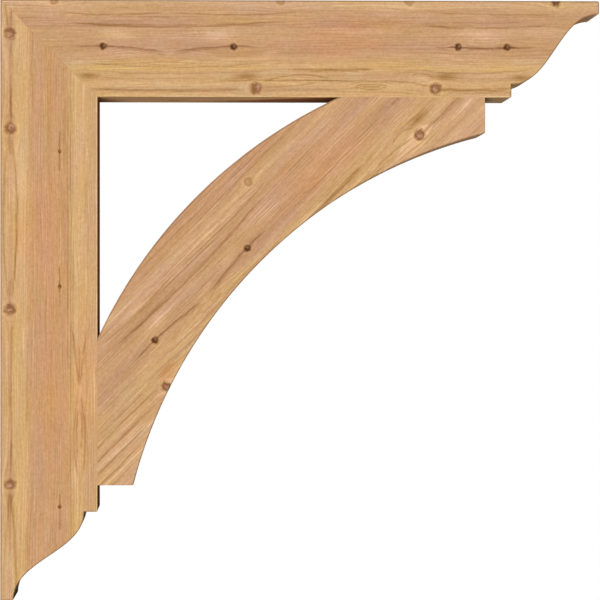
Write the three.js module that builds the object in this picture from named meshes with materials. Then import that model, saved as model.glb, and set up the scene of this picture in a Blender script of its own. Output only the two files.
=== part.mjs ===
// Timber corbel bracket: a leg that stands against the wall and an arm that carries the load above,
// mitred together at the top corner and stiffened by a curved brace across the inside of the angle.
// Both free ends are cut to the same ogee, with a small square step where the ogee meets the inner edge.
// Millimetres, +Z up. X runs out from the wall and Y across the bracket.
// The origin is the centre of the wall face, which is the leg's outer face.
import * as THREE from 'three';

// The two straight timbers
const reach = 863.6; // the arm's tip from the wall
const drop = 863.6; // the leg's lower tip from the top face
const timberDepth = 139.7; // of the leg and the arm, from outer face to inner face
const timberWidth = 139.7; // of all three pieces, across the bracket
const ogeeLength = 127.0; // from the square step to the tip
const tipThickness = 19.05; // left square at the tip, before the ogee starts
const stepHeight = 19.05; // of the square step at the inner edge
const ogeeFullness = 0.46; // length of the curve's two handles, as a share of the ogee's length

// The curved brace
const braceSetback = 38.1; // of inner edge left clear between the brace and the square step
const braceSeat = 211.4; // length of each face that bears on a timber
const braceNose = 51.4; // depth of the square-cut ends
const backRadius = 713.0; // of the convex edge, towards the corner
const frontRadius = 705.5; // of the concave edge, away from the corner

// Between pieces, and the fineness of the curves
const jointGap = 0.3; // glue line of the mitre and of the brace's two seats
const ogeeDivisions = 24; // flats along each ogee
const arcDivisions = 48; // flats along each edge of the brace

const topZ = drop / 2;
const innerFaceZ = topZ - timberDepth; // underside of the arm
const mitreShift = jointGap / Math.SQRT2; // half the glue line, measured along a timber

const cedar = (colour) => new THREE.MeshStandardMaterial({ color: colour, roughness: 0.72, metalness: 0 });

// A side outline sawn out of stock of the common width, centred across the bracket.
function sawnPiece(name, outline, colour) {
  const geometry = new THREE.ExtrudeGeometry(outline, {
    depth: timberWidth,
    bevelEnabled: false,
    curveSegments: ogeeDivisions,
  });
  const piece = new THREE.Mesh(geometry, cedar(colour));
  piece.name = name;
  piece.rotation.x = Math.PI / 2;
  piece.position.y = timberWidth / 2;
  return piece;
}

// Side outline of one straight timber: the mitre at the corner, the ogee and its step at the free end.
// place turns a distance along the timber and a depth from its outer face into x and z.
function timberOutline(length, place) {
  const shoulder = length - ogeeLength;
  const handle = ogeeFullness * ogeeLength;
  const stepDepth = timberDepth - stepHeight;
  const outline = new THREE.Shape();
  outline.moveTo(...place(mitreShift, 0));
  outline.lineTo(...place(length, 0));
  outline.lineTo(...place(length, tipThickness));
  outline.bezierCurveTo(
    ...place(length - handle, tipThickness),
    ...place(shoulder + handle, stepDepth),
    ...place(shoulder, stepDepth),
  );
  outline.lineTo(...place(shoulder, timberDepth));
  outline.lineTo(...place(timberDepth + mitreShift, timberDepth));
  outline.closePath();
  return outline;
}

// Centre of the arc of that radius which passes through both points and bows towards the top corner.
function arcCentre(lower, upper, radius) {
  const chord = upper.clone().sub(lower);
  const towardsCentre = new THREE.Vector2(chord.y, -chord.x).normalize();
  const rise = Math.sqrt(radius ** 2 - chord.lengthSq() / 4);
  return lower.clone().add(upper).multiplyScalar(0.5).addScaledVector(towardsCentre, rise);
}

// Points from one end to the other of the arc, whichever end is the lower.
function arcPoints(from, to, radius) {
  const clockwise = from.y < to.y;
  const centre = clockwise ? arcCentre(from, to, radius) : arcCentre(to, from, radius);
  const start = from.clone().sub(centre).angle();
  const end = to.clone().sub(centre).angle();
  const arc = new THREE.EllipseCurve(centre.x, centre.y, radius, radius, start, end, clockwise);
  return arc.getPoints(arcDivisions);
}

// Side outline of the brace: a seat on each timber, a square-cut nose at each end, and two arcs between.
function braceOutline() {
  const legSeatX = timberDepth + jointGap;
  const armSeatZ = innerFaceZ - jointGap;
  const footZ = topZ - (drop - ogeeLength - braceSetback);
  const headX = reach - ogeeLength - braceSetback;
  const point = (x, z) => new THREE.Vector2(x, z);
  return new THREE.Shape([
    point(legSeatX, footZ),
    ...arcPoints(point(legSeatX, footZ + braceSeat), point(headX - braceSeat, armSeatZ), backRadius),
    point(headX, armSeatZ),
    ...arcPoints(point(headX, innerFaceZ - braceNose), point(timberDepth + braceNose, footZ), frontRadius),
  ]);
}

const legPlace = (along, depth) => [depth, topZ - along];
const armPlace = (along, depth) => [along, topZ - depth];

const bracket = new THREE.Group();
bracket.add(
  sawnPiece('wall_leg', timberOutline(drop, legPlace), 0xcfa172),
  sawnPiece('top_arm', timberOutline(reach, armPlace), 0xcb9f73),
  sawnPiece('curved_brace', braceOutline(), 0xcb9e73),
);

export default bracket;
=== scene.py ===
from math import sin, sqrt

import bpy
import numpy as np
from mathutils import Matrix, Vector


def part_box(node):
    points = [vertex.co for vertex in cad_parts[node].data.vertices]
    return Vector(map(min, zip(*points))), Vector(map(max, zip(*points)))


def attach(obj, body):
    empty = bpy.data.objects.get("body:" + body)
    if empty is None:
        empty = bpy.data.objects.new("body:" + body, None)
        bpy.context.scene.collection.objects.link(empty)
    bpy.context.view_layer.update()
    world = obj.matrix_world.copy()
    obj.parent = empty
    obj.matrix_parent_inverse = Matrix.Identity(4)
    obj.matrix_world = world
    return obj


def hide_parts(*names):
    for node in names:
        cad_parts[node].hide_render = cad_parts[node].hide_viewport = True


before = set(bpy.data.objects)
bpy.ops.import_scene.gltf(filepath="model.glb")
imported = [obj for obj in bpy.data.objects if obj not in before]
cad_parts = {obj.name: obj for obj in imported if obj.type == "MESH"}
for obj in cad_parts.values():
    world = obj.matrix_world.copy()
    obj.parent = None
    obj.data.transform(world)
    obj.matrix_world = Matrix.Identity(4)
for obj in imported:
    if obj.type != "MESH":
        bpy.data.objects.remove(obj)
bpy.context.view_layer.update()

# Sizes are in millimetres until a mesh is made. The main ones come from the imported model's nodes.
legLow, legHigh = (np.array(corner) * 1000 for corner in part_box("wall_leg"))
armHigh = np.array(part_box("top_arm")[1]) * 1000
braceLow, braceHigh = (np.array(corner) * 1000 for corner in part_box("curved_brace"))
topZ, bottomZ = armHigh[2], legLow[2]
stockDepth, stockWidth = legHigh[0], legHigh[1] - legLow[1]

# Shapes: a side outline carried across the width, with its free arrises eased

arris = {
    "outer": 2.2,  # radius of the sanded edges that face outwards
    "curved": 1.5,  # the same along the ogees and the brace's concave edge
    "inner": 0.45,  # the same along the inside of the angle and at the brace's noses
    "crisp": 0.02,  # the same where two pieces meet, because the joints are sanded flush
    "corner": 2.0,  # radius of the corners of the side outline
    "steps": 4,  # faces round an eased edge
    "margin": 0.35,  # flat strip beside each eased edge, which keeps the big faces shaded flat
    "glueLine": 0.012,
}


def unit(vector):
    return vector / np.linalg.norm(vector, axis=-1, keepdims=True)


def straightRun(start, end, spacing=18.0):
    # start + (end - start) * share, evenly spaced; the first and last steps are longer than any inset
    start, end = np.asarray(start, float), np.asarray(end, float)
    length = np.linalg.norm(end - start)
    margin = min(5.0, length / 4)
    middle = np.linspace(margin, length - margin, max(2, int(length / spacing) + 1))
    return start + (end - start) * (np.concatenate(([0.0], middle, [length])) / length)[:, None]


def cornerRun(before, corner, after):
    # an arc tangent to both sides, centred on the bisector at radius / sin(half the angle) from the corner
    before, corner, after = (np.asarray(point, float) for point in (before, corner, after))
    toBefore, toAfter = unit(before - corner), unit(after - corner)
    half = np.arccos(np.clip(toBefore @ toAfter, -1, 1)) / 2
    centre = corner + unit(toBefore + toAfter) * arris["corner"] / np.sin(half)
    first = corner + toBefore * arris["corner"] / np.tan(half) - centre
    last = corner + toAfter * arris["corner"] / np.tan(half) - centre
    turn, share = np.pi - 2 * half, np.linspace(0, 1, arris["steps"] + 1)[:, None]
    return centre + (np.sin((1 - share) * turn) * first + np.sin(share * turn) * last) / np.sin(turn)


def arcRun(start, end, radius, count):
    # centre + radius * (cos, sin) of an evenly turning angle; the arc bows towards the top corner
    start, end = np.asarray(start, float), np.asarray(end, float)
    lower, upper = (start, end) if start[1] < end[1] else (end, start)
    chord = upper - lower
    rise = np.sqrt(radius**2 - chord @ chord / 4)
    centre = (lower + upper) / 2 + unit(np.array([chord[1], -chord[0]])) * rise
    first, last = np.unwrap([np.arctan2(*(point - centre)[::-1]) for point in (start, end)])
    angle = np.linspace(first, last, count)
    return centre + radius * np.stack([np.cos(angle), np.sin(angle)], 1)


def closedOutline(runs):
    # joins the runs end to end; a corner keeps the easing of the run before it and of the one after it
    eased = [np.broadcast_to(ease, len(run)) for run, ease in runs]
    points = np.concatenate([run[:-1] for run, ease in runs])
    after = np.concatenate([ease[:-1] for ease in eased])
    before = np.roll(np.concatenate([ease[1:] for ease in eased]), 1)
    x, z = points.T
    if np.sum(x * np.roll(z, -1) - z * np.roll(x, -1)) < 0:  # turned to run anticlockwise
        points, before, after = points[::-1], after[::-1], before[::-1]
    return points, before, after


def insetOutline(points, before, after):
    # each edge moves inwards by its own amount, and each vertex goes where its two moved edges cross
    forward = unit(np.roll(points, -1, 0) - points)
    inAfter = np.stack([-forward[:, 1], forward[:, 0]], 1)
    inBefore = np.roll(inAfter, 1, 0)
    cross = inBefore[:, 0] * inAfter[:, 1] - inBefore[:, 1] * inAfter[:, 0]
    bent = np.abs(cross) > 1e-3
    crossing = np.stack([
        before * inAfter[:, 1] - after * inBefore[:, 1],
        after * inBefore[:, 0] - before * inAfter[:, 0],
    ], -1) / np.where(bent, cross, 1.0)[:, None]
    sideways = (inBefore + inAfter) / (1 + np.sum(inBefore * inAfter, 1))[:, None]
    sideways = sideways * ((before + after) / 2)[..., None]
    return points + np.where(bent[:, None], crossing, sideways)


def easedBoard(name, outline):
    # rows of the outline from the front face to the back one: over an eased edge the inset is
    # ease * (1 - sin(turn)) and the recess ease * (1 - cos(turn)), and between the edges both stay put
    points, before, after = outline
    turn = np.linspace(0, np.pi / 2, arris["steps"] + 1)
    insetShare = np.concatenate(([1.0], 1 - np.sin(turn), [0.0]))
    recessShare = np.concatenate(([0.0], 1 - np.cos(turn), [1.0]))
    insetMore = np.zeros(len(insetShare))
    recessMore = np.zeros(len(insetShare))
    insetMore[0] = recessMore[-1] = arris["margin"]
    inset = [share[:, None] * insetShare for share in (before, after)]
    half = insetOutline(points, *((share.T + insetMore[:, None]) for share in inset))
    recess = recessShare[:, None] * np.maximum(before, after) + recessMore[:, None]
    y = -stockWidth / 2 + recess
    middle = np.broadcast_to(points, (2,) + points.shape)
    middleY = np.broadcast_to(np.array([[-1.0], [1.0]]) * stockWidth / 6, (2, len(points)))
    side = np.concatenate([half, middle, half[::-1]])
    y = np.concatenate([y, middleY, -y[::-1]])
    vertices = np.stack([side[..., 0], y, side[..., 1]], -1).reshape(-1, 3) / 1000

    rows, columns = y.shape
    index = np.arange(rows * columns).reshape(rows, columns)
    nextColumn = np.roll(index, -1, 1)
    quads = np.stack([index[:-1], index[1:], nextColumn[1:], nextColumn[:-1]], -1).reshape(-1, 4)
    mesh = bpy.data.meshes.new(name)
    mesh.from_pydata(vertices.tolist(), [], quads.tolist() + [index[0].tolist(), index[-1, ::-1].tolist()])
    mesh.polygons.foreach_set("use_smooth", np.ones(len(mesh.polygons), bool))
    mesh.set_sharp_from_angle(angle=0.6)
    mesh.validate()
    piece = bpy.data.objects.new(name, mesh)
    bpy.context.scene.collection.objects.link(piece)
    print(name, "has", len(mesh.polygons), "faces")
    return piece


timber = {
    "ogeeLength": 127.0,  # from the square step to the tip
    "tipThickness": 19.05,
    "stepHeight": 19.05,
    "fullness": 0.46,  # of the ogee's handles, as a share of its length
}

brace = {
    "seat": 211.4,  # length of each face that bears on a timber
    "nose": 51.4,  # depth of the square-cut ends
    "backRadius": 713.0,  # convex edge
    "frontRadius": 705.5,  # concave edge
}


def ogeeRun(length):
    # cubic Bezier, (1-t)^3 a + 3 (1-t)^2 t b + 3 (1-t) t^2 c + t^3 d, level at the tip and at the step
    shoulder = length - timber["ogeeLength"]
    handle = timber["fullness"] * timber["ogeeLength"]
    stepDepth = stockDepth - timber["stepHeight"]
    t = np.linspace(0, 1, 73)[:, None]
    a, b = np.array([length, timber["tipThickness"]]), np.array([length - handle, timber["tipThickness"]])
    c, d = np.array([shoulder + handle, stepDepth]), np.array([shoulder, stepDepth])
    return (1 - t) ** 3 * a + 3 * (1 - t) ** 2 * t * b + 3 * (1 - t) * t**2 * c + t**3 * d


def timberOutline(length, seatEnd, place):
    # worked out in along and depth, and put where it belongs by place, which gives x and z
    outer, curved, inner, crisp = (arris[kind] for kind in ("outer", "curved", "inner", "crisp"))
    shift = arris["glueLine"] / sqrt(2)
    tip, tipInner = (length, 0.0), (length, timber["tipThickness"])
    shoulder, stepInner = length - timber["ogeeLength"], stockDepth - timber["stepHeight"]
    outerHeel, innerHeel = (shift, 0.0), (stockDepth + shift, stockDepth)
    ogee = ogeeRun(length)
    outerCorner = cornerRun(outerHeel, tip, tipInner)
    innerCorner = cornerRun(tip, tipInner, ogee[1])
    stepCorner = cornerRun((shoulder, stepInner), (shoulder, stockDepth), innerHeel)
    ogee = np.concatenate([innerCorner[-1:], ogee[1:]])
    seat = [np.array([seatEnd - offset, stockDepth]) for offset in (-1.5, 1.5)]
    seat += [np.array([seatEnd - brace["seat"] - offset, stockDepth]) for offset in (-1.5, 1.5)]
    taper = np.linspace(inner, crisp, 4)
    runs = [
        (straightRun(outerHeel, outerCorner[0]), outer),
        (outerCorner, np.linspace(outer, curved, len(outerCorner))),
        (straightRun(outerCorner[-1], innerCorner[0]), curved),
        (innerCorner, curved),
        (ogee, curved),
        (straightRun(ogee[-1], stepCorner[0]), curved),
        (stepCorner, np.linspace(curved, inner, len(stepCorner))),
        (straightRun(stepCorner[-1], seat[0]), inner),
        (np.linspace(seat[0], seat[1], 4), taper),
        (straightRun(seat[1], seat[2]), crisp),
        (np.linspace(seat[2], seat[3], 4), taper[::-1]),
        (straightRun(seat[3], innerHeel), inner),
        (straightRun(innerHeel, outerHeel), crisp),
    ]
    return closedOutline([(place(run), ease) for run, ease in runs])


def braceOutline():
    outer, curved, inner, crisp = (arris[kind] for kind in ("outer", "curved", "inner", "crisp"))
    legSeat, armSeat = stockDepth + arris["glueLine"], topZ - stockDepth - arris["glueLine"]
    foot, head = (legSeat, braceLow[2]), (braceHigh[0], armSeat)
    footNose = (stockDepth + brace["nose"], braceLow[2])
    headNose = (braceHigh[0], topZ - stockDepth - brace["nose"])
    backFoot, backHead = (legSeat, foot[1] + brace["seat"]), (head[0] - brace["seat"], armSeat)
    front = arcRun(footNose, headNose, brace["frontRadius"], 97)
    back = arcRun(backHead, backFoot, brace["backRadius"], 97)
    footCorner = cornerRun(foot, footNose, front[1])
    headCorner = cornerRun(front[-2], headNose, head)
    front = np.concatenate([footCorner[-1:], front[1:-1], headCorner[:1]])
    return closedOutline([
        (straightRun(foot, footCorner[0]), inner),
        (footCorner, np.linspace(inner, curved, len(footCorner))),
        (front, curved),
        (headCorner, np.linspace(curved, inner, len(headCorner))),
        (straightRun(headCorner[-1], head), inner),
        (straightRun(head, backHead), crisp),
        (back, outer),
        (straightRun(backFoot, foot), crisp),
    ])


wallLeg = easedBoard("wallLegTimber", timberOutline(
    topZ - bottomZ, topZ - braceLow[2], lambda run: np.stack([run[:, 1], topZ - run[:, 0]], 1)))
topArm = easedBoard("topArmTimber", timberOutline(
    armHigh[0], braceHigh[0], lambda run: np.stack([run[:, 0], topZ - run[:, 1]], 1)))
curvedBrace = easedBoard("curvedBraceTimber", braceOutline())
print("the three timbers are shaped")

# Shader helpers


def tone(red, green, blue):
    # a colour picked on screen, 0 to 255, as the linear colour that a shader wants
    part = np.array([red, green, blue]) / 255
    return (*np.where(part > 0.04045, ((part + 0.055) / 1.055) ** 2.4, part / 12.92), 1.0)


def connect(tree, value, socket):
    if isinstance(value, bpy.types.NodeSocket):
        tree.links.new(value, socket)
    else:
        socket.default_value = value


def addNode(tree, kind, sockets, **settings):
    node = tree.nodes.new(kind)
    for name, value in settings.items():
        setattr(node, name, value)
    for name, value in sockets.items():
        connect(tree, value, node.inputs[name])
    return node


def calc(tree, operation, *values):
    node = tree.nodes.new("ShaderNodeMath")
    node.operation = operation
    for value, socket in zip(values, node.inputs):
        connect(tree, value, socket)
    return node.outputs[0]


def times(tree, first, second):
    return calc(tree, "MULTIPLY", first, second)


def timesPlus(tree, first, second, third):
    # first * second + third
    return calc(tree, "MULTIPLY_ADD", first, second, third)


def lessOver(tree, value, centre, scale):
    # (value - centre) / scale
    return calc(tree, "DIVIDE", calc(tree, "SUBTRACT", value, centre), scale)


def squares(tree, *values):
    # the sum of the values' squares
    parts = [times(tree, value, value) for value in values]
    total = parts[0]
    for part in parts[1:]:
        total = calc(tree, "ADD", total, part)
    return total


def bell(tree, distance):
    # exp(-distance)
    return calc(tree, "EXPONENT", times(tree, distance, -1.0))


def ease01(tree, value, low, high, toLow=0.0, toHigh=1.0):
    # smooth step from toLow to toHigh while the value goes from low to high
    sockets = {"Value": value, "From Min": low, "From Max": high, "To Min": toLow, "To Max": toHigh}
    return addNode(tree, "ShaderNodeMapRange", sockets, interpolation_type="SMOOTHSTEP").outputs["Result"]


def noiseAt(tree, x, y, z, detail=2.0, rough=0.5):
    vector = addNode(tree, "ShaderNodeCombineXYZ", {"X": x, "Y": y, "Z": z}).outputs[0]
    sockets = {"Vector": vector, "Scale": 1.0, "Detail": detail, "Roughness": rough}
    return addNode(tree, "ShaderNodeTexNoise", sockets).outputs["Fac"]


def mixColour(tree, share, first, second, blend="MIX"):
    node = addNode(tree, "ShaderNodeMix", {}, data_type="RGBA", blend_type=blend)
    for value, socket in zip((share, first, second), (node.inputs[0], node.inputs[6], node.inputs[7])):
        connect(tree, value, socket)
    return node.outputs[2]


def tinted(tree, share, colour, tint):
    # colour * tint as far as share goes, from 0 to 1
    return mixColour(tree, share, colour, tint, "MULTIPLY")


def floats(*labels):
    return dict.fromkeys(labels, "float")


def newGroup(name, inputs, outputs):
    kinds = {"float": "NodeSocketFloat", "colour": "NodeSocketColor", "vector": "NodeSocketVector"}
    group = bpy.data.node_groups.new(name, "ShaderNodeTree")
    for label, kind in inputs.items():
        group.interface.new_socket(label, in_out="INPUT", socket_type=kinds[kind])
    for label, kind in outputs.items():
        group.interface.new_socket(label, in_out="OUTPUT", socket_type=kinds[kind])
    return group, group.nodes.new("NodeGroupInput").outputs, group.nodes.new("NodeGroupOutput").inputs


def useGroup(tree, group, sockets):
    return addNode(tree, "ShaderNodeGroup", sockets, node_tree=group).outputs


# Node groups for the wood: all lengths are millimetres in the timber's own directions

knotLook = {
    "ringTint": (0.6, 0.46, 0.32, 1.0),  # of the branch's own rings
    "paleTint": (1.16, 1.18, 1.14, 1.0),  # of the wood on both sides of the knot
    "darkTint": (0.66, 0.56, 0.44, 1.0),  # of the wood close round it
    "ringTurn": 13.0,  # radians of the rings' sine in one radius
    "groove": 0.6,  # depth of the crack round the knot
}

# Each noise of the grain has its lengths along the timber, across the rings and round them, its detail
# and roughness, and its place in the noise.
grainNoises = {
    "dark": (210, 5.0, 45, 3.0, 0.6, 0.0), "pale": (160, 4.0, 40, 3.0, 0.6, 31.0),
    "hair": (300, 6.5, 55, 1.5, 0.5, 17.0), "hairGaps": (110, 9, 40, 2.0, 0.5, 23.0),
    "glint": (190, 4.0, 40, 1.5, 0.5, 61.0), "glintGaps": (90, 12, 40, 2.0, 0.5, 71.0),
    "drift": (260, 20, 60, 2.0, 0.5, 7.0), "lateGaps": (170, 13, 40, 2.0, 0.5, 13.0),
    "fibre": (26, 1.5, 5, 3.0, 0.8, 3.0), "mottle": (5, 3.5, 8, 3.0, 0.9, 5.0),
    "redder": (60, 14, 30, 3.0, 0.5, 41.0), "bluer": (90, 16, 30, 3.0, 0.4, 53.0),
}


def makeKnotFlow():
    # the grain parts round a knot as a stream parts round a post: shift = -dy R^2 / r^2,
    # with r measured to the knot's centre and shortened along the grain by Reach
    group, into, out = newGroup("knotFlow", floats(
        "Along", "Across", "Shift", "Knot Along", "Knot Across", "Radius", "Reach"), floats("Shift"))
    dx = lessOver(group, into["Along"], into["Knot Along"], into["Reach"])
    dy = calc(group, "SUBTRACT", into["Across"], into["Knot Across"])
    distance, nearest = squares(group, dx, dy), squares(group, into["Radius"])
    push = calc(group, "DIVIDE", times(group, dy, nearest), calc(group, "MAXIMUM", distance, nearest))
    connect(group, calc(group, "SUBTRACT", into["Shift"], push), out["Shift"])
    return group


def makeGrainSwell():
    # a hump in the ring coordinate, height * exp(-(dx/length)^2 - (dy/width)^2), which cuts the
    # growth rings into a closed eye where it is high and into a pointed arch where it is low
    group, into, out = newGroup("grainSwell", floats(
        "Along", "Across", "Shift", "Swell Along", "Swell Across", "Length", "Width", "Height"),
        floats("Shift"))
    dx = lessOver(group, into["Along"], into["Swell Along"], into["Length"])
    dy = lessOver(group, into["Across"], into["Swell Across"], into["Width"])
    hump = times(group, into["Height"], bell(group, squares(group, dx, dy)))
    connect(group, calc(group, "ADD", into["Shift"], hump), out["Shift"])
    return group


def makeKnotFace():
    # a dark disc with a soft edge, and in it a paler bar lying across the grain, off the centre by Lean;
    # Ragged, a noise, bends the outline, the branch's own rings are a sine of the distance, and the wood
    # round it is darker at first and then paler on both sides
    group, into, out = newGroup("knotFace", {
        "Color": "colour", **floats("Height", "Along", "Across", "Through", "Knot Along", "Knot Across",
                                    "Radius", "Depth", "Ragged", "Lean"),
        "Core": "colour", "Rim": "colour"}, {"Color": "colour", "Height": "float"})
    dx = lessOver(group, into["Along"], into["Knot Along"], into["Radius"])
    dy = lessOver(group, into["Across"], into["Knot Across"], into["Radius"])
    dz = calc(group, "DIVIDE", into["Through"], into["Depth"])
    distance = calc(group, "SQRT", squares(group, dx, dy, dz))
    bend = times(group, calc(group, "SUBTRACT", into["Ragged"], 0.5), times(group, into["Radius"], 0.18))
    distance = calc(group, "ADD", distance, bend)
    barAlong = calc(group, "ADD", timesPlus(group, bend, 1.6, into["Lean"]), dx)
    barAlong = times(group, barAlong, 3.0)
    barAcross = times(group, timesPlus(group, into["Lean"], -0.8, dy), 1.8)
    bar = squares(group, barAlong, barAcross)
    rings = timesPlus(group, calc(group, "SINE", times(group, distance, knotLook["ringTurn"])), 0.12, 0.12)
    shade = mixColour(group, bell(group, bar), into["Rim"], into["Core"])
    shade = tinted(group, rings, shade, knotLook["ringTint"])
    beside = ease01(group, calc(group, "ABSOLUTE", dy), 0.3, 1.0)
    halo = times(group, ease01(group, distance, 1.2, 1.5), ease01(group, distance, 1.5, 2.2, 0.6, 0.0))
    around = tinted(group, times(group, halo, beside), into["Color"], knotLook["paleTint"])
    around = tinted(group, ease01(group, distance, 0.9, 1.5, 0.85, 0.0), around, knotLook["darkTint"])
    disc = ease01(group, distance, 0.75, 1.1, 1.0, 0.0)
    connect(group, mixColour(group, disc, around, shade), out["Color"])
    groove = times(group, ease01(group, distance, 0.7, 0.9), ease01(group, distance, 0.95, 1.2, 1.0, 0.0))
    connect(group, timesPlus(group, groove, -knotLook["groove"], into["Height"]), out["Height"])
    return group


def makeGrainStreak():
    # a line along the grain, exp(-(distance from its centre line / half width)^2), tapered at both ends
    # and broken by a noise; with u from -1 at From to 1 at To, the centre line is
    # Centre + Tilt * u + Bow * (1 - u^2)
    group, into, out = newGroup("grainStreak", floats(
        "Amount", "Along", "Across", "Broken", "From", "To", "Centre", "Tilt", "Bow", "Half Width",
        "Strength"), floats("Amount"))
    middle = times(group, calc(group, "ADD", into["From"], into["To"]), 0.5)
    half = times(group, calc(group, "SUBTRACT", into["To"], into["From"]), 0.5)
    u = lessOver(group, into["Along"], middle, half)
    inside = calc(group, "SUBTRACT", 1.0, squares(group, u))
    window = ease01(group, inside, 0.0, 0.55)
    centre = timesPlus(group, into["Tilt"], u, timesPlus(group, into["Bow"], inside, into["Centre"]))
    width = times(group, into["Half Width"], timesPlus(group, window, 0.6, 0.4))
    line = bell(group, squares(group, lessOver(group, into["Across"], centre, width)))
    share = times(group, times(group, line, window), timesPlus(group, into["Broken"], 2.2, -0.1))
    connect(group, timesPlus(group, share, into["Strength"], into["Amount"]), out["Amount"])
    return group


def makeGrainStain():
    # a soft patch, exp(-((dx/length)^2 + (dy/width)^2) * ragged), with Ragged a noise that is drawn out
    # along the grain
    group, into, out = newGroup("grainStain", floats(
        "Amount", "Along", "Across", "Ragged", "Patch Along", "Patch Across", "Length", "Width",
        "Strength"), floats("Amount"))
    dx = lessOver(group, into["Along"], into["Patch Along"], into["Length"])
    dy = lessOver(group, into["Across"], into["Patch Across"], into["Width"])
    distance = times(group, squares(group, dx, dy), timesPlus(group, into["Ragged"], 2.4, -0.2))
    share = bell(group, distance)
    connect(group, timesPlus(group, share, into["Strength"], into["Amount"]), out["Amount"])
    return group


def makeGrowthRings():
    # distance from the pith, sqrt(dc^2 + dt^2), and the way round it, angle * 200 mm
    group, into, out = newGroup("growthRings", floats(
        "Across", "Through", "Pith Across", "Pith Through"), floats("Ring", "Turn"))
    dc = calc(group, "SUBTRACT", into["Across"], into["Pith Across"])
    dt = calc(group, "SUBTRACT", into["Through"], into["Pith Through"])
    connect(group, calc(group, "SQRT", squares(group, dc, dt)), out["Ring"])
    connect(group, times(group, calc(group, "ARCTAN2", dt, dc), 200.0), out["Turn"])
    return group


def makeSoftwoodGrain():
    # darkness of the grain, a sum of noises drawn out along the timber: broad streaks; hairlines, dark
    # and pale, where a noise passes its middle value; latewood, a saw of the ring number that ends each
    # ring, with a pale line where the next begins; short fibres; and a cloudy mottle. Tint is a slow
    # drift of hue.
    group, into, out = newGroup("softwoodGrain", floats(
        "Along", "Ring", "Turn", "Ring Width", "Streaks", "Hairlines", "Latewood", "Fibres", "Mottle"),
        {"Darkness": "float", "Height": "float", "Tint": "colour"})

    def noise(label):
        alongScale, ringScale, turnScale, detail, rough, offset = grainNoises[label]
        x = timesPlus(group, into["Along"], 1 / alongScale, offset)
        y = timesPlus(group, into["Ring"], 1 / ringScale, offset)
        return noiseAt(group, x, y, times(group, into["Turn"], 1 / turnScale), detail, rough)

    def lines(label):
        level = calc(group, "ABSOLUTE", calc(group, "SUBTRACT", noise(label), 0.5))
        return ease01(group, level, 0.0, 0.045, 1.0, 0.0)

    dark = ease01(group, noise("dark"), 0.47, 0.74)
    pale = ease01(group, noise("pale"), 0.48, 0.74)
    broad = times(group, timesPlus(group, pale, -0.7, dark), into["Streaks"])
    hair = times(group, lines("hair"), ease01(group, noise("hairGaps"), 0.4, 0.66))
    glint = times(group, lines("glint"), ease01(group, noise("glintGaps"), 0.42, 0.66))
    drift = times(group, noise("drift"), 3.0)
    ringNumber = calc(group, "ADD", calc(group, "DIVIDE", into["Ring"], into["Ring Width"]), drift)
    phase = calc(group, "FRACT", ringNumber)
    late = times(group, calc(group, "POWER", phase, 3.0), ease01(group, phase, 0.93, 1.0, 1.0, 0.0))
    early = calc(group, "POWER", calc(group, "SUBTRACT", 1.0, phase), 7.0)
    late = timesPlus(group, early, -0.8, late)
    late = times(group, late, ease01(group, noise("lateGaps"), 0.36, 0.62))
    fibre = calc(group, "SUBTRACT", noise("fibre"), 0.5)
    mottle = calc(group, "SUBTRACT", noise("mottle"), 0.5)
    darkness = timesPlus(group, timesPlus(group, glint, -2.2, hair), into["Hairlines"], broad)
    darkness = timesPlus(group, late, into["Latewood"], darkness)
    darkness = timesPlus(group, fibre, into["Fibres"], darkness)
    connect(group, timesPlus(group, mottle, into["Mottle"], darkness), out["Darkness"])
    connect(group, timesPlus(group, late, 0.6, times(group, fibre, 0.8)), out["Height"])
    redder = timesPlus(group, noise("redder"), 0.14, 0.93)
    bluer = timesPlus(group, noise("bluer"), 0.56, 0.70)
    tint = addNode(group, "ShaderNodeCombineColor", {"Red": redder, "Green": 1.0, "Blue": bluer})
    connect(group, tint.outputs[0], out["Tint"])
    return group


knotFlow, grainSwell, knotFace = makeKnotFlow(), makeGrainSwell(), makeKnotFace()
grainStreak, grainStain = makeGrainStreak(), makeGrainStain()
growthRings, softwoodGrain = makeGrowthRings(), makeSoftwoodGrain()
print("the wood's node groups are made")

# The wood itself

tones = {
    "cream": tone(213, 170, 128),
    "gold": tone(214, 171, 121),
    "straw": tone(207, 164, 118),
    "tan": tone(205, 160, 120),
    "rose": tone(203, 155, 116),
    "clay": tone(204, 155, 111),
    "dusk": tone(199, 153, 115),
}
grainTint = (0.62, 0.51, 0.32, 1.0)  # what the darkest grain leaves of each colour
lightTint = (1.45, 1.62, 1.9, 1.0)  # the same of the palest grain
# painted shade that darkens the eased arrises
arrisShadeTint = (0.56, 0.48, 0.42, 1.0)
endGrainTint = (0.72, 0.62, 0.52, 1.0)
umberTint = (0.50, 0.36, 0.30, 1.0)
softTint = (0.70, 0.56, 0.44, 1.0)
redTint = (1.04, 0.94, 0.90, 1.0)
goldTint = (1.06, 1.07, 0.86, 1.0)
paleTint = (1.23, 1.30, 1.48, 1.0)
paintedHighlightTint = (1.25, 1.42, 1.65, 1.0)  # a painted highlight along the arrises inside the angle
redKnot = (tone(206, 158, 124), tone(150, 101, 64))  # the bar across the knot, and the rest of it
darkKnot = (tone(148, 106, 72), tone(92, 53, 28))
pinKnot = (tone(176, 124, 70), tone(120, 76, 40))
faintKnot = (tone(206, 160, 114), tone(188, 142, 98))
edgeKnot = (tone(166, 114, 80), tone(124, 82, 52))
cutKnot = (tone(196, 142, 104), tone(140, 96, 64))
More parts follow.
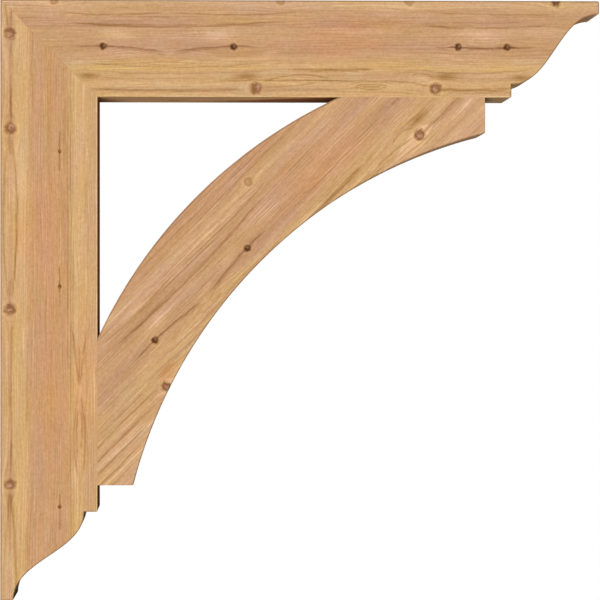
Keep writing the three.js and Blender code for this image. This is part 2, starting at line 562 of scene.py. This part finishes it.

# Places on a timber are (along, across): along the grain from its start, and in from its first edge.
# A knot is along, across, radius, how deep it goes, colours; one less than 100 deep lies at the front
# arris, and the others go right through. A swell is along, across, length, width, height. A streak is
# from, to, centre, tilt, bow, half width, tint, strength. A stain is along, across, length, width,
# tint, strength. Shade tones the whole timber down, and one more number sets how strong the painted
# highlight along its inner arris is.
legWood = {
    "rows": ((0, 0, -1), (1, 0, 0), (0, -1, 0)), "start": (topZ, 0, 0),
    "pith": (-150.0, 75.0), "ringWidth": 3.4, "shade": (0.98, 0.985, 0.96), "paintedHighlight": 1.0, "hairlines": 0.2,
    "bands": ((-60, "gold"), (-30, "gold"), (0, "straw"), (7, "straw"), (10, "gold"), (15, "tan"),
              (18, "gold"), (24, "gold"), (34, "gold"), (42, "clay"), (52, "rose"), (70, "clay"),
              (94, "clay"), (99, "straw"), (106, "gold"), (116, "gold"), (126, "straw"), (134, "straw"),
              (150, "clay")),
    "knots": ((48.3, 14.5, 7.6, 300, redKnot), (185.2, 14.5, 7.6, 300, redKnot),
              (444.9, 14.5, 7.6, 300, redKnot), (697.3, 14.5, 7.6, 300, redKnot),
              (218.4, 85.5, 2.6, 300, pinKnot), (412.6, 85.5, 2.6, 300, pinKnot),
              (729.1, 85.5, 2.8, 300, pinKnot)),
    "sideKnots": ((300.0, 22.0, 9.0, redKnot), (610.0, -12.0, 6.5, redKnot)),
    "swells": ((520.0, 114.0, 26.0, 8.0, 7.0), (604.0, 114.0, 34.0, 9.0, 8.0),
               (345.0, 112.0, 60.0, 10.0, 4.0)),
    "streaks": (
        # down the outer edge, from knot to knot
        (0, 44, 9.0, 3.2, 0, 1.4, grainTint, 0.8), (-6, 44, 16.0, -0.6, 0, 1.3, grainTint, 0.8),
        (52, 182, 15.6, 0, 0, 1.9, grainTint, 0.7), (120, 180, 15.6, 0, 0, 2.3, grainTint, 0.35),
        (188, 440, 13.0, 0, -8.6, 1.2, grainTint, 0.65), (188, 442, 15.5, 0, 8.3, 1.9, grainTint, 0.9),
        (190, 226, 13.8, 0, 0, 1.7, grainTint, 0.7), (400, 440, 14.0, 0, 0, 2.0, grainTint, 0.6),
        (450, 694, 15.6, 0, 0, 2.0, grainTint, 0.65), (630, 692, 15.4, 0, 0, 2.5, grainTint, 0.35),
        (700, 810, 9.5, -5.0, 0, 1.4, grainTint, 0.6), (700, 880, 20.0, 4.5, 1.5, 2.2, grainTint, 0.7),
        (700, 800, 15.0, 0, 0, 2.2, grainTint, 0.6),
        # the rest of the face
        (470, 625, 38.5, 0, 0, 1.3, grainTint, 0.5), (90, 560, 96.4, 0, 1, 1.0, grainTint, 0.6),
        (20, 860, 100.8, 0, 0.6, 0.9, grainTint, 0.5), (300, 820, 105.5, 0, -0.6, 0.8, grainTint, 0.4),
        (60, 420, 92.0, 0, 0, 0.9, grainTint, 0.4), (60, 300, 71.0, 0, 0, 0.9, grainTint, 0.3),
        (470, 560, 108.5, 5.0, 0, 1.5, softTint, 0.85), (470, 560, 119.5, -6.0, 0, 1.5, softTint, 0.85),
        (496, 550, 113.8, 0, 0, 1.5, softTint, 0.8),
        (562, 690, 112.5, 0, -6.0, 1.5, softTint, 0.85), (562, 700, 115.0, 0, 6.6, 1.5, softTint, 0.85),
        (584, 664, 112.6, 0, -2.6, 1.3, softTint, 0.8), (584, 650, 114.8, 0, 3.0, 1.3, softTint, 0.8),
        # the pin knots
        (186, 228, 85.5, 0, 0, 1.2, grainTint, 0.9), (212, 250, 85.9, 0, 0, 1.4, softTint, 0.9),
        (380, 424, 85.5, 0, 0, 1.2, grainTint, 0.9), (406, 444, 85.9, 0, 0, 1.3, softTint, 0.9),
        (708, 732, 85.5, 0, 0, 1.2, grainTint, 0.9), (720, 766, 85.7, 0, 0, 1.6, softTint, 0.9)),
    "stains": ((262, 9, 9, 4, umberTint, 0.22), (284, 7, 12, 3.5, umberTint, 0.25),
               (300, 12, 8, 3, umberTint, 0.2), (330, 60, 62, 18, redTint, 0.9),
               (338, 30, 34, 11, redTint, 0.9), (560, 70, 90, 12, redTint, 0.7),
               (560, 122, 130, 20, redTint, 1.0), (330, 118, 60, 9, paleTint, 0.17),
               (226, 80.5, 9, 2.5, paleTint, 0.4), (406, 81, 7, 2.2, paleTint, 0.4),
               (740, 81, 9, 2.5, paleTint, 0.4), (265, 28, 46, 14, paleTint, 0.38),
               (720, 34, 34, 7, paleTint, 0.2)),
}

boardMarks = {
    "bands": ((-60, "tan"), (-40, "rose"), (-14, "rose"), (-3, "tan"), (1, "cream"), (9, "cream"),
              (15, "tan"), (34, "dusk"), (38, "dusk"), (43, "tan"), (52, "tan"), (63, "dusk"),
              (74, "dusk"), (80, "tan"), (87, "straw"), (95, "gold"), (104, "straw"), (113, "straw"),
              (121, "gold"), (127, "straw"), (136, "gold"), (150, "tan"), (190, "tan")),
    "swells": ((242.0, 80.0, 50.0, 11.0, 5.0), (534.0, 124.5, 24.0, 5.0, 6.5),
               (242.0, 8.0, 120.0, 20.0, 4.0)),
    "streaks": (
        # long wavy lines of the upper half
        (84, 240, 17.2, 0, 4.4, 1.0, grainTint, 0.85), (236, 430, 17.0, 0, 4.2, 1.0, grainTint, 0.85),
        (140, 320, 23.4, 0, 0.8, 0.8, grainTint, 0.5), (125, 370, 12.6, 0, -1.6, 0.7, grainTint, 0.45),
        (84, 420, 30.0, -1, 8.4, 1.6, grainTint, 0.85), (150, 300, 35.0, 0, 0.6, 0.8, grainTint, 0.5),
        (70, 330, 43.0, 0, 2.0, 0.8, grainTint, 0.35), (440, 600, 30.0, 0, 1.0, 0.9, grainTint, 0.35),
        (618, 810, 18.6, 1, 1.5, 1.1, grainTint, 0.8), (640, 790, 24.5, 0, -1.0, 0.8, grainTint, 0.5),
        (596, 800, 34.0, 0, 5.4, 1.8, grainTint, 0.85), (640, 760, 30.5, 0, 2.0, 0.9, grainTint, 0.5),
        # tails of the dark knots, which meet in a row of Vs
        (104, 240, 71.8, 3.9, -3.8, 1.4, umberTint, 0.95),
        (165, 244, 76.0, 5.4, -2.4, 1.1, grainTint, 0.5),
        (243.3, 379.3, 71.8, -3.9, -3.8, 1.4, umberTint, 0.95),
        (238, 318, 76.0, -5.4, -2.4, 1.1, grainTint, 0.5),
        (212, 270, 82.0, 0, 4.6, 1.0, redTint, 1.6), (214, 268, 84.5, 0, 4.0, 0.9, grainTint, 0.6),
        (200, 284, 90.5, 0, 4.0, 0.9, grainTint, 0.5), (640, 750, 67.0, 0, 1.9, 1.6, umberTint, 1.1),
        (626, 660, 67.6, 0, 0, 1.1, umberTint, 0.6), (732, 772, 67.8, 0, 0.6, 1.2, umberTint, 0.7),
        # golden half
        (90, 420, 92.6, 0, 8.0, 1.7, goldTint, 0.95), (110, 400, 88.6, 0, 8.4, 1.0, grainTint, 0.55),
        (100, 410, 98.5, 0, 7.6, 1.0, grainTint, 0.5), (130, 330, 112.0, 0, 1.4, 0.8, grainTint, 0.4),
        (576, 790, 92.6, -1, 8.4, 1.6, goldTint, 0.95), (590, 780, 97.8, -1, 7.0, 1.0, grainTint, 0.5),
        (410, 545, 99.2, 0, 0.8, 2.1, grainTint, 0.85), (440, 520, 102.6, 0, -0.6, 1.0, grainTint, 0.6),
        (300, 560, 116.4, 0, -0.8, 1.2, grainTint, 0.75),
        (545, 624, 120.2, 4.2, -2.2, 1.2, grainTint, 0.8),
        (588, 628, 112.5, 1.6, -7.2, 1.0, grainTint, 0.7), (120, 366, 127.4, 0, 3.2, 2.0, grainTint, 0.9),
        (96, 340, 134.4, 0, 0, 0.8, redTint, 1.5), (372, 480, 117.8, -3, -10.4, 1.1, grainTint, 0.8),
        (374, 462, 121.8, -4, 1.6, 1.1, grainTint, 0.7), (374, 500, 131.2, 0, -2.0, 1.0, grainTint, 0.6),
        (622, 742, 127.8, 0, 1.4, 2.4, grainTint, 0.95), (636, 760, 133.6, 0, 0.4, 0.8, grainTint, 0.45),
        (418, 610, 135.2, 0, 0, 0.9, redTint, 1.6),
        # the eye low on the arm
        (508, 560, 124.3, 0, -3.7, 0.9, grainTint, 0.85), (508, 560, 124.3, 0, 3.7, 0.9, grainTint, 0.85),
        (519, 549, 124.3, 0, 0, 1.2, grainTint, 1.0), (490, 580, 124.3, 0, -7.2, 0.9, grainTint, 0.5)),
    "stains": ((127, 109, 15, 4.6, grainTint, 0.95), (353, 109.5, 17, 4.6, grainTint, 0.95),
               (641, 109.8, 18, 4.8, grainTint, 1.0), (749, 110.8, 15, 4.0, grainTint, 0.95),
               (169, 51, 20, 10, paleTint, 0.85), (314, 51, 20, 10, paleTint, 0.85),
               (695, 52, 30, 11, paleTint, 0.85), (605, 112, 13, 4, paleTint, 0.3),
               (534, 124, 30, 6, paleTint, 0.23), (418, 112, 26, 4, paleTint, 0.2),
               (497, 54, 78, 36, redTint, 0.9), (150, 36, 45, 4, grainTint, 0.3),
               (340, 30, 40, 5, goldTint, 0.9)),
    "knots": ((147.9, 67.1, 4.9, 300, darkKnot), (335.4, 67.1, 4.9, 300, darkKnot),
              (659.5, 67.0, 4.9, 300, darkKnot), (730.3, 67.1, 4.9, 300, darkKnot),
              (367.8, 127.3, 7.6, 300, redKnot), (626.6, 127.3, 7.6, 300, redKnot),
              (77.5, 1.0, 5.6, 8, faintKnot), (403.5, 0.6, 5.2, 8, faintKnot),
              (588.5, 1.0, 5.6, 8, faintKnot), (800.5, 0.0, 7.5, 11, edgeKnot)),
}

armWood = {
    **boardMarks, "rows": ((1, 0, 0), (0, 0, -1), (0, 1, 0)), "start": (0, topZ, 0),
    "pith": (-170.0, 70.0), "ringWidth": 3.6, "shade": (0.975, 0.982, 0.96),
    "paintedHighlight": 0.6, "hairlines": 0.2,
    "sideKnots": ((250.0, 20.0, 8.5, redKnot), (560.0, -10.0, 6.0, darkKnot)),
}


def onBrace(along, across):
    # whether a place on the board falls inside the brace's outline, with 6 mm to spare: the two arcs
    # are near enough parabolas, and the seats run at 45 degrees to the board
    away = abs(along - 337)
    lower = -37 + away**2 / 1426 if away < 245.6 else 6.5 + (away - 245.6)
    upper = 94.3 + away**2 / 1411
    return lower - 6 < across < upper + 6


slant = 1 / sqrt(2)  # the brace's board lies at 45 degrees, so its grain climbs from foot to head
braceWood = {
    "bands": ((-60, "rose"), (-8, "rose"), (0, "tan"), (5, "cream"), (10, "tan"), (16, "tan"),
              (34, "dusk"), (38, "dusk"), (43, "tan"), (52, "tan"), (63, "dusk"), (74, "dusk"),
              (80, "tan"), (87, "straw"), (104, "straw"), (121, "gold"), (130, "tan"), (141, "cream"),
              (150, "tan"), (163, "cream"), (190, "tan")),
    "swells": boardMarks["swells"],
    "knots": tuple(mark for mark in boardMarks["knots"] if onBrace(*mark[:2])),
    "stains": ((127, 109, 13, 4.6, grainTint, 0.45), (641, 109.8, 18, 4.8, grainTint, 1.0),
               (100, 122, 16, 5, grainTint, 0.35), (150, 36, 45, 4, grainTint, 0.3),
               (169, 53, 20, 9, paleTint, 0.7), (302, 58, 18, 8, paleTint, 0.6),
               (605, 112, 13, 4, paleTint, 0.3), (530, 22, 50, 16, paleTint, 0.3),
               (165, 104, 30, 6, paleTint, 0.3), (497, 60, 78, 30, redTint, 0.9),
               (131, 110, 12, 6, redTint, 2.2), (120, 116, 6, 5, redTint, 1.6)),
    "streaks": tuple(mark for mark in boardMarks["streaks"]
                     if any(onBrace(place, mark[2] + mark[4]) for place in np.linspace(*mark[:2], 9))),
    "rows": ((slant, 0, slant), (slant, 0, -slant), (0, 1, 0)),
    "start": (336.9 - topZ * slant, topZ * slant - 436.7, 0),  # lays the board's marks on the brace
    "pith": (-190.0, 80.0), "ringWidth": 3.6, "shade": (0.965, 0.96, 0.93), "paintedHighlight": 0.0, "hairlines": 0.3,
    "sideKnots": ((420.0, 18.0, 7.0, redKnot),),
}
braceWood["knots"] += ((111.7, 125.9, 6.4, 13, cutKnot),)
braceWood["streaks"] += (
    # coarse grain of the foot
    (-60, 106, 120.0, -1, -3, 1.3, grainTint, 0.8), (-90, 100, 109.0, 0, -2, 1.2, grainTint, 0.6),
    (-120, 96, 134.0, 0, -2, 1.4, grainTint, 0.8), (-150, 60, 146.0, 0, 0, 1.3, grainTint, 0.75),
    (-170, 40, 158.0, 0, 1, 1.4, grainTint, 0.75), (-170, 10, 171.0, 0, 0, 1.4, grainTint, 0.65),
    (-80, 130, 96.0, 0, 1, 1.2, goldTint, 0.6), (-120, 120, 86.0, 0, 0, 1.2, grainTint, 0.5),
    (-140, 60, 139.5, 0, 0, 1.2, paleTint, 0.8), (-160, 30, 152.0, 0, 0, 1.2, paleTint, 0.9),
    (-160, 20, 164.5, 0, 0, 1.2, paleTint, 0.9), (-150, 30, 156.0, 0, 0, 0.9, paleTint, 0.75),
    (-120, 70, 126.0, 0, 0, 1.0, paleTint, 0.7), (60, 420, 13.0, 0, -1.0, 1.2, paleTint, 0.75),
    (90, 460, 3.0, 0, 1.0, 1.1, paleTint, 0.7), (40, 300, 20.0, 0, 1.0, 1.0, paleTint, 0.65),
    # the convex side, beyond the board's first edge
    (150, 560, -9.0, 0, -2, 1.0, grainTint, 0.5), (180, 520, -20.0, 0, 0, 1.1, grainTint, 0.5),
    (220, 500, -31.0, 0, 1, 1.0, grainTint, 0.4))

finish = {
    "streaks": 0.19, "latewood": 0.36, "fibres": 1.15, "mottle": 1.35,  # strengths of the grain's parts
    "marks": 0.84,  # the same of the streaks that have a place of their own
    "wander": 8.0,  # how far the grain strays sideways, in millimetres
    "flow": 2.6, "sideFlow": 2.4,  # how far along the grain a knot bends it, for its width
    "paintedHighlightWidth": 0.9,  # of the painted highlight inside the angle, in millimetres
    "endGrain": 0.55,  # how far the end grain takes its tint
    "roughness": 0.62, "grainRoughness": 0.12, "endRoughness": 0.14,
    "specular": 0.1,
    "bumpStrength": 0.35, "bumpDepth": 0.00035,
}


def woodMaterial(name, wood):
    material = bpy.data.materials.new(name)
    material.use_nodes = True
    tree = material.node_tree
    tree.nodes.clear()
    coordinates = addNode(tree, "ShaderNodeTexCoord", {})
    turned = Matrix(wood["rows"])
    place = addNode(tree, "ShaderNodeMapping", {
        "Vector": coordinates.outputs["Object"], "Rotation": tuple(turned.to_euler()),
        "Scale": (1000, 1000, 1000), "Location": wood["start"]})
    parts = addNode(tree, "ShaderNodeSeparateXYZ", {"Vector": place.outputs[0]}).outputs
    along, across, through = parts["X"], parts["Y"], parts["Z"]

    def spread(alongScale, acrossScale, throughScale, detail, rough=0.5):
        scaled = [times(tree, value, 1 / scale) for value, scale in
                  ((along, alongScale), (across, acrossScale), (through, throughScale))]
        return noiseAt(tree, *scaled, detail, rough)

    # the grain wanders slowly and parts round the knots
    shift = timesPlus(tree, spread(230, 60, 70, 2.0), finish["wander"], -finish["wander"] / 2)
    sideShift = 0.0
    for knotAlong, knotAcross, radius, depth, colours in wood["knots"]:
        shift = useGroup(tree, knotFlow, {
            "Along": along, "Across": across, "Shift": shift, "Knot Along": knotAlong,
            "Knot Across": knotAcross, "Radius": radius, "Reach": finish["flow"]})["Shift"]
    for swellAlong, swellAcross, length, width, height in wood["swells"]:
        shift = useGroup(tree, grainSwell, {
            "Along": along, "Across": across, "Shift": shift, "Swell Along": swellAlong,
            "Swell Across": swellAcross, "Length": length, "Width": width, "Height": height})["Shift"]
    for knotAlong, knotThrough, radius, colours in wood["sideKnots"]:
        sideShift = useGroup(tree, knotFlow, {
            "Along": along, "Across": through, "Shift": sideShift, "Knot Along": knotAlong,
            "Knot Across": knotThrough, "Radius": radius, "Reach": finish["sideFlow"]})["Shift"]
    bentAcross = calc(tree, "ADD", across, shift)
    bentThrough = calc(tree, "ADD", through, sideShift)
    pithAcross, pithThrough = wood["pith"]
    rings = useGroup(tree, growthRings, {
        "Across": bentAcross, "Through": bentThrough, "Pith Across": pithAcross,
        "Pith Through": pithThrough})

    # bands of tone follow the rings; each stop is placed where its ring meets the front face
    frontDepth = stockWidth / 2 + (pithThrough if wood["rows"][2][1] > 0 else -pithThrough)
    stops = [(sqrt((edge - pithAcross) ** 2 + frontDepth**2), label) for edge, label in wood["bands"]]
    innermost, outermost = stops[0][0], stops[-1][0]
    ringShare = calc(tree, "DIVIDE", calc(tree, "SUBTRACT", rings["Ring"], innermost), outermost - innermost)
    ramp = addNode(tree, "ShaderNodeValToRGB", {"Fac": ringShare})
    elements = ramp.color_ramp.elements
    while len(elements) < len(stops):
        elements.new(0.5)
    for element, (ring, label) in zip(elements, stops):
        element.position = (ring - innermost) / (outermost - innermost)
        element.color = tones[label]

    grain = useGroup(tree, softwoodGrain, {
        "Along": along, "Ring": rings["Ring"], "Turn": rings["Turn"], "Ring Width": wood["ringWidth"],
        "Streaks": finish["streaks"], "Hairlines": wood["hairlines"], "Latewood": finish["latewood"],
        "Fibres": finish["fibres"], "Mottle": finish["mottle"]})
    lightness = times(tree, grain["Darkness"], -1.0)
    colour = tinted(tree, 1.0, ramp.outputs["Color"], grain["Tint"])
    colour = tinted(tree, 1.0, colour, (*wood["shade"], 1.0))
    colour = tinted(tree, grain["Darkness"], colour, grainTint)
    colour = tinted(tree, lightness, colour, lightTint)

    # marks with a place of their own: three noises, shared by all, bend, break and fray them, the
    # marks of one tint are added up, and each sum tints the wood once
    wavyAcross = calc(tree, "ADD", across, timesPlus(tree, spread(30, 26, 40, 3.0, 0.65), 4.4, -2.2))
    broken, frayed = spread(30, 2.2, 9, 2.0, 0.6), spread(16, 2.4, 9, 3.0, 0.6)
    ragged = spread(5.5, 5.5, 9, 2.0, 0.6)
    amounts = {}
    for patchAlong, patchAcross, length, width, tint, strength in wood["stains"]:
        amounts[tint] = useGroup(tree, grainStain, {
            "Amount": amounts.get(tint, 0.0), "Along": along, "Across": across, "Ragged": frayed,
            "Patch Along": patchAlong, "Patch Across": patchAcross, "Length": length, "Width": width,
            "Strength": strength})["Amount"]
    for start, end, centre, tilt, bow, halfWidth, tint, strength in wood["streaks"]:
        amounts[tint] = useGroup(tree, grainStreak, {
            "Amount": amounts.get(tint, 0.0), "Along": along, "Across": wavyAcross, "Broken": broken,
            "From": start, "To": end, "Centre": centre, "Tilt": tilt, "Bow": bow, "Half Width": halfWidth,
            "Strength": strength * finish["marks"]})["Amount"]
    for tint, amount in amounts.items():
        colour = tinted(tree, amount, colour, tint)
    height = grain["Height"]
    behindFront = calc(tree, "ADD", through, wood["rows"][2][1] * stockWidth / 2)
    knots = [(across, through if knot[3] > 100 else behindFront, knot) for knot in wood["knots"]]
    knots += [(through, across, (*knot[:3], 1000, knot[3])) for knot in wood["sideKnots"]]
    for sideways, inwards, (knotAlong, knotAcross, radius, depth, (core, rim)) in knots:
        face = useGroup(tree, knotFace, {
            "Color": colour, "Height": height, "Along": along, "Across": sideways, "Through": inwards,
            "Knot Along": knotAlong, "Knot Across": knotAcross, "Radius": radius, "Depth": depth,
            "Ragged": ragged, "Lean": 0.3 * sin(7 * knotAlong), "Core": core, "Rim": rim})
        colour, height = face["Color"], face["Height"]

    # painted shade along the eased arrises: a dark line where they leave the faces, 20.4 * n^14 * (1 - n^2),
    # with n how far the surface faces the front or the back, is 1 at a turn of 20 degrees and 0 on the faces
    normal = coordinates.outputs["Normal"]
    square = squares(tree, addNode(tree, "ShaderNodeSeparateXYZ", {"Vector": normal}).outputs["Y"])
    arrisShade = times(tree, calc(tree, "POWER", square, 7.0), calc(tree, "SUBTRACT", 1.0, square))
    colour = tinted(tree, times(tree, arrisShade, 20.4), colour, arrisShadeTint)

    # a painted highlight lies along the arris inside the angle in front, exp(-(distance from it / its
    # width)^2), but not where the brace's seat covers it
    if wood["paintedHighlight"]:
        halfSeat, width = brace["seat"] / 2, finish["paintedHighlightWidth"]
        fromSeat = calc(tree, "ABSOLUTE", calc(tree, "SUBTRACT", along, topZ - braceLow[2] - halfSeat))
        bare = ease01(tree, fromSeat, halfSeat - 4, halfSeat + 2)
        paintedHighlight = bell(tree, squares(tree, lessOver(tree, across, stockDepth - width, width)))
        paintedHighlight = times(tree, paintedHighlight, times(tree, square, wood["paintedHighlight"]))
        colour = tinted(tree, times(tree, paintedHighlight, bare), colour, paintedHighlightTint)

    # end grain drinks more light: how far the surface faces along the grain
    sockets = {0: normal, 1: tuple(turned[0])}
    facing = addNode(tree, "ShaderNodeVectorMath", sockets, operation="DOT_PRODUCT").outputs["Value"]
    endGrain = ease01(tree, calc(tree, "ABSOLUTE", facing), 0.3, 0.95)
    colour = tinted(tree, times(tree, endGrain, finish["endGrain"]), colour, endGrainTint)
    roughness = timesPlus(tree, grain["Height"], finish["grainRoughness"], finish["roughness"])
    roughness = timesPlus(tree, endGrain, finish["endRoughness"], roughness)
    bump = addNode(tree, "ShaderNodeBump", {
        "Height": height, "Strength": finish["bumpStrength"], "Distance": finish["bumpDepth"]})
    surface = addNode(tree, "ShaderNodeBsdfPrincipled", {
        "Base Color": colour, "Roughness": roughness, "Normal": bump.outputs["Normal"],
        "Specular IOR Level": finish["specular"]})
    addNode(tree, "ShaderNodeOutputMaterial", {"Surface": surface.outputs[0]})
    return material


timbers = ((wallLeg, "wall_leg", legWood), (topArm, "top_arm", armWood),
           (curvedBrace, "curved_brace", braceWood))
for piece, node, wood in timbers:
    piece.data.materials.append(woodMaterial(piece.name + "Cedar", wood))
    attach(piece, "root")
    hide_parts(node)
print("the wood is on the timbers")

# The studio

studio = {
    "floorDrop": 0.32, "floorHalf": 2.4,  # metres below the leg's tip, and half the floor's side
    "floorColour": (0.86, 0.86, 0.85, 1.0),
    "keyStrength": 2.28, "keyFrom": (-0.28, -1.0, 0.3), "keyAngle": 0.6,
    "fillStrength": 1.25, "fillFrom": (-0.14, -0.62, -0.75), "fillAngle": 0.3,
    "ambient": (0.25, 0.01),  # light of the sky on the left and on the right
    "lens": 206.4, "cameraX": 0.266, "cameraZ": -0.004, "cameraAway": 4.954,  # metres
    "shift": (-0.0008, -0.0002),  # puts the bracket half a pixel to the right
}


def makeFloor():
    half, height = studio["floorHalf"], bottomZ / 1000 - studio["floorDrop"]
    corners = [(-half, -half, height), (half, -half, height), (half, half, height), (-half, half, height)]
    mesh = bpy.data.meshes.new("studioFloor")
    mesh.from_pydata(corners, [], [(0, 1, 2, 3)])
    floor = bpy.data.objects.new("studioFloor", mesh)
    bpy.context.scene.collection.objects.link(floor)
    material = bpy.data.materials.new("paleFloor")
    material.use_nodes = True
    surface = material.node_tree.nodes["Principled BSDF"]
    surface.inputs["Base Color"].default_value = studio["floorColour"]
    surface.inputs["Roughness"].default_value = 0.9
    mesh.materials.append(material)
    floor.visible_diffuse = floor.visible_shadow = False  # it neither throws light up nor stops the fill


def addSun(name, strength, fromWay, angle):
    data = bpy.data.lights.new(name, "SUN")
    data.energy, data.angle = strength, angle
    lamp = bpy.data.objects.new(name, data)
    bpy.context.scene.collection.objects.link(lamp)
    lamp.rotation_euler = Vector(fromWay).to_track_quat("Z", "Y").to_euler()


def makeWorld():
    world = bpy.data.worlds.new("studioWhite")
    bpy.context.scene.world = world
    world.use_nodes = True
    tree = world.node_tree
    tree.nodes.clear()
    way = addNode(tree, "ShaderNodeTexCoord", {}).outputs["Generated"]
    sideways = addNode(tree, "ShaderNodeSeparateXYZ", {"Vector": way}).outputs["X"]
    glow = ease01(tree, sideways, -0.5, 0.15, *studio["ambient"])
    seen = addNode(tree, "ShaderNodeBackground", {"Color": (1, 1, 1, 1), "Strength": 1.0})
    light = addNode(tree, "ShaderNodeBackground", {"Color": (1, 1, 1, 1), "Strength": glow})
    ray = addNode(tree, "ShaderNodeLightPath", {})
    mix = addNode(tree, "ShaderNodeMixShader", {
        0: ray.outputs["Is Camera Ray"], 1: light.outputs[0], 2: seen.outputs[0]})
    addNode(tree, "ShaderNodeOutputWorld", {"Surface": mix.outputs[0]})


def makeCamera():
    data = bpy.data.cameras.new("photoCamera")
    data.sensor_width, data.lens = 36.0, studio["lens"]
    data.shift_x, data.shift_y = studio["shift"]
    data.clip_end = 50.0
    camera = bpy.data.objects.new("photoCamera", data)
    bpy.context.scene.collection.objects.link(camera)
    frontY = -stockWidth / 2000
    camera.location = (studio["cameraX"], frontY - studio["cameraAway"], studio["cameraZ"])
    aim = Vector((armHigh[0] / 2000, frontY, (topZ + bottomZ) / 2000))
    camera.rotation_euler = (aim - camera.location).to_track_quat("-Z", "Y").to_euler()
    bpy.context.scene.camera = camera


makeFloor()
for kind in ("key", "fill"):
    addSun(kind + "Light", studio[kind + "Strength"], studio[kind + "From"], studio[kind + "Angle"])
makeWorld()
makeCamera()
bpy.context.scene.view_settings.view_transform = "Standard"
print("the studio is set")
